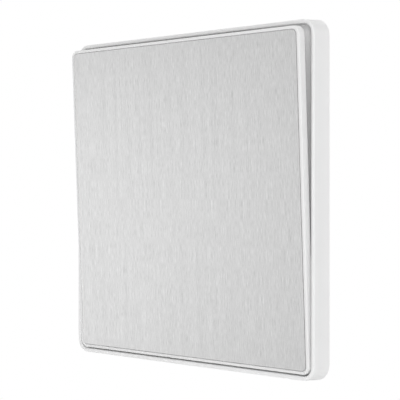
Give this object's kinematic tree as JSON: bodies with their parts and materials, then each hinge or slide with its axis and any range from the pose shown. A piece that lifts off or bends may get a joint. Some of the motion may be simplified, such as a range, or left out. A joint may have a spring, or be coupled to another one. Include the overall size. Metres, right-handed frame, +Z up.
{
  "type": "rocker light switch",
  "caption": "Square wall light switch with a thin white frame, a full-face tilting rocker key with a brushed aluminium inlay, and a see-saw change-over contact mechanism on a steel bracket.",
  "frame": {"origin": "middle of the frame's back, in the plane of the wall, midway between the box screws", "axes": "+Z up as mounted, the front faces -Y, +Y goes into the wall, +X to the right seen from the front"},
  "size_m": [0.086, 0.0291, 0.086],
  "materials": {
    "white_plastic": "satin moulded white",
    "brushed_aluminium": "fine vertical brushing, clear anodised",
    "zinc_plated_steel": "bright zinc plating",
    "housing_plastic": "moulded light grey",
    "mechanism_plastic": "moulded natural white, slightly waxy",
    "terminal_brass": "turned and milled",
    "contact_copper": "rolled copper alloy strip",
    "contact_silver": "silver alloy contact",
    "spring_steel": "drawn spring wire"
  },
  "bodies": {
    "base": {"frame": "white_plastic", "mounting_bracket": "zinc_plated_steel", "mechanism_cover": "housing_plastic", "switch_housing": "housing_plastic", "common_terminal_strip": "contact_copper", "upper_contact_strip": "contact_copper", "lower_contact_strip": "contact_copper", "upper_fixed_contact": "contact_silver", "lower_fixed_contact": "contact_silver", "common_terminal_block": "terminal_brass", "upper_terminal_block": "terminal_brass", "lower_terminal_block": "terminal_brass", "terminal_screws": "zinc_plated_steel", "housing_screws": "zinc_plated_steel"},
    "rocker": {"rocker_key": "white_plastic", "face_plate": "brushed_aluminium", "toggle": "mechanism_plastic", "plunger_spring": "spring_steel"},
    "plunger": {"plunger": "mechanism_plastic"},
    "contact_blade": {"contact_rocker": "contact_copper", "moving_contacts": "contact_silver"}
  },
  "joints": [
    {"name": "key_rock", "type": "hinge", "parent": "base", "child": "rocker", "pos_m": [0, -0.00224, 0], "axis": [-1, 0, 0], "range_deg": [0, 5.2]},
    {"name": "contact_swing", "type": "hinge", "parent": "base", "child": "contact_blade", "pos_m": [0, 0.01299, 0], "axis": [1, 0, 0], "range_deg": [0, 17]},
    {"name": "plunger_slide", "type": "slide", "parent": "rocker", "child": "plunger", "axis": [0, -0.999, -0.0454], "range_m": [0, 0.001], "stiffness_N_per_m": 1500, "springref_m": -0.002, "deforming": ["plunger_spring"]}
  ],
  "couplings": [
    {"joint": "contact_swing", "follows": "key_rock", "ratio": 3.269}
  ]
}
